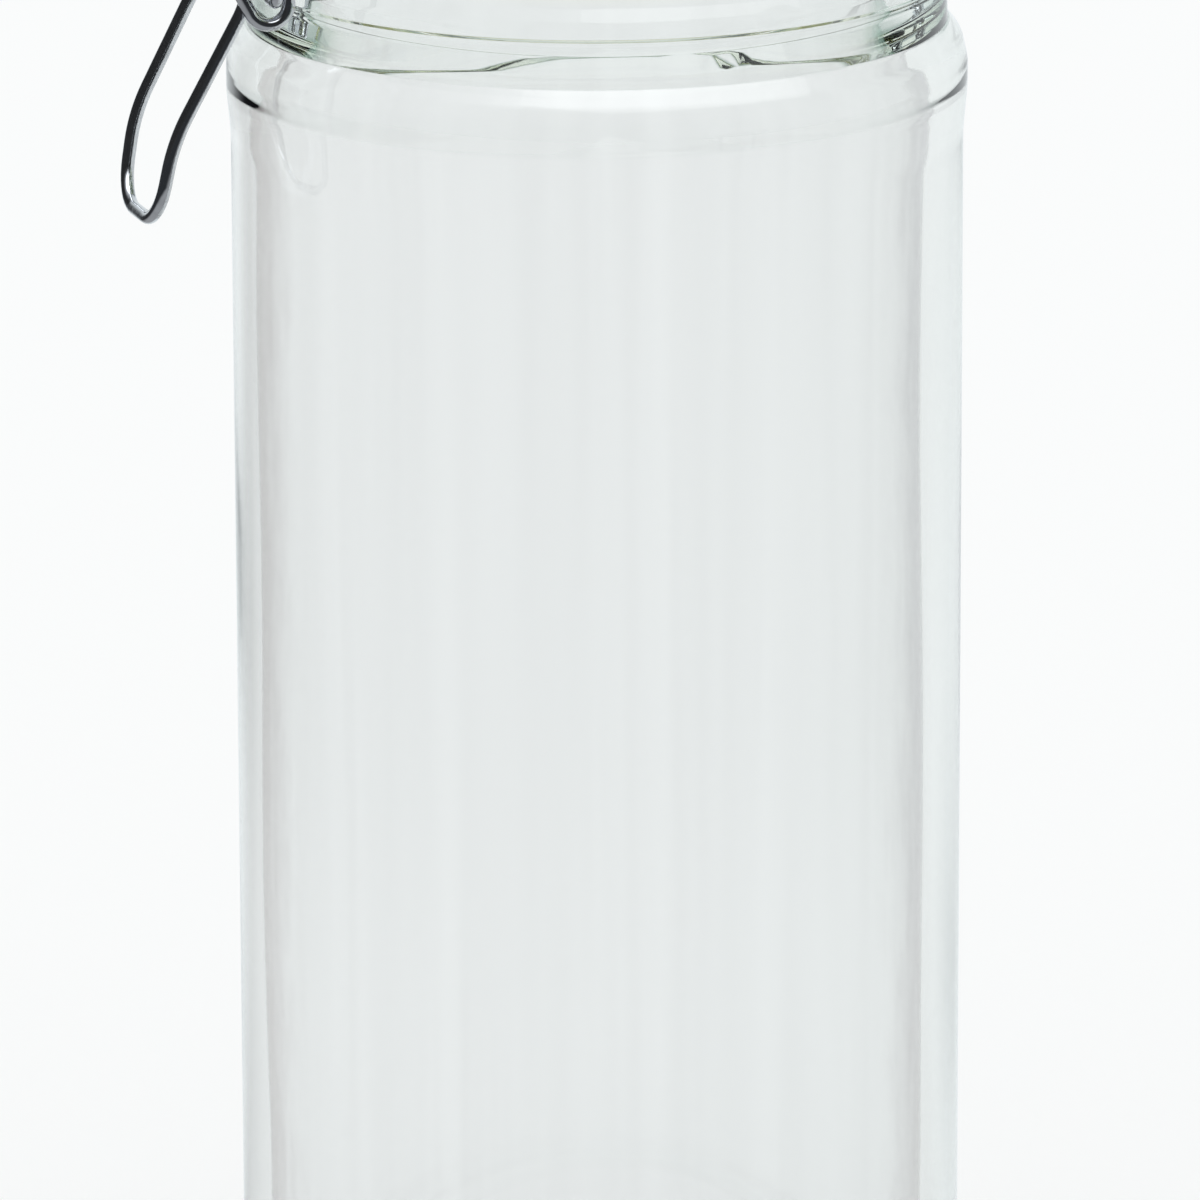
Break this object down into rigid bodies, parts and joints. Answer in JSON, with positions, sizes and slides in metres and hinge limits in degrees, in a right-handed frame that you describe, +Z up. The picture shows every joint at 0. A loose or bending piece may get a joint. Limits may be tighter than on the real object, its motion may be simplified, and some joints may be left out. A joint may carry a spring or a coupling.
{
  "type": "lidded glass canister",
  "caption": "Round clear glass storage jar with a hinged glass lid, rubber gasket and over-centre steel wire clasp.",
  "frame": {"origin": "the jar's axis on the plane it stands on", "axes": "+Z up along the jar's axis, the clasp at -Y, the lid's hinge at +Y"},
  "size_m": [0.1277, 0.147, 0.294],
  "materials": {
    "jar_glass": "clear moulded soda-lime glass",
    "lid_glass": "clear pressed soda-lime glass",
    "gasket_rubber": "pale yellow translucent rubber",
    "steel_wire": "bright drawn steel wire"
  },
  "bodies": {
    "jar": {"jar_body": "jar_glass", "neck_wire": "steel_wire"},
    "lid": {"lid": "lid_glass", "gasket": "gasket_rubber", "lid_wire": "steel_wire"},
    "lever": {"clasp_lever": "steel_wire"},
    "link": {"closing_link": "steel_wire"}
  },
  "joints": [
    {"name": "lid_hinge", "type": "hinge", "parent": "jar", "child": "lid", "pos_m": [0, 0.0642, 0.27], "axis": [-1, 0, 0], "range_deg": [0, 115]},
    {"name": "clasp_lever_hinge", "type": "hinge", "parent": "jar", "child": "lever", "pos_m": [0, -0.0605, 0.27], "axis": [-1, 0, 0], "range_deg": [0, 120]},
    {"name": "closing_link_pivot", "type": "hinge", "parent": "lever", "child": "link", "pos_m": [0, -0.0599, 0.2612], "axis": [-1, 0, 0], "range_deg": [-96, 0]}
  ],
  "couplings": [
    {"joint": "closing_link_pivot", "follows": "clasp_lever_hinge", "ratio": -0.8}
  ]
}
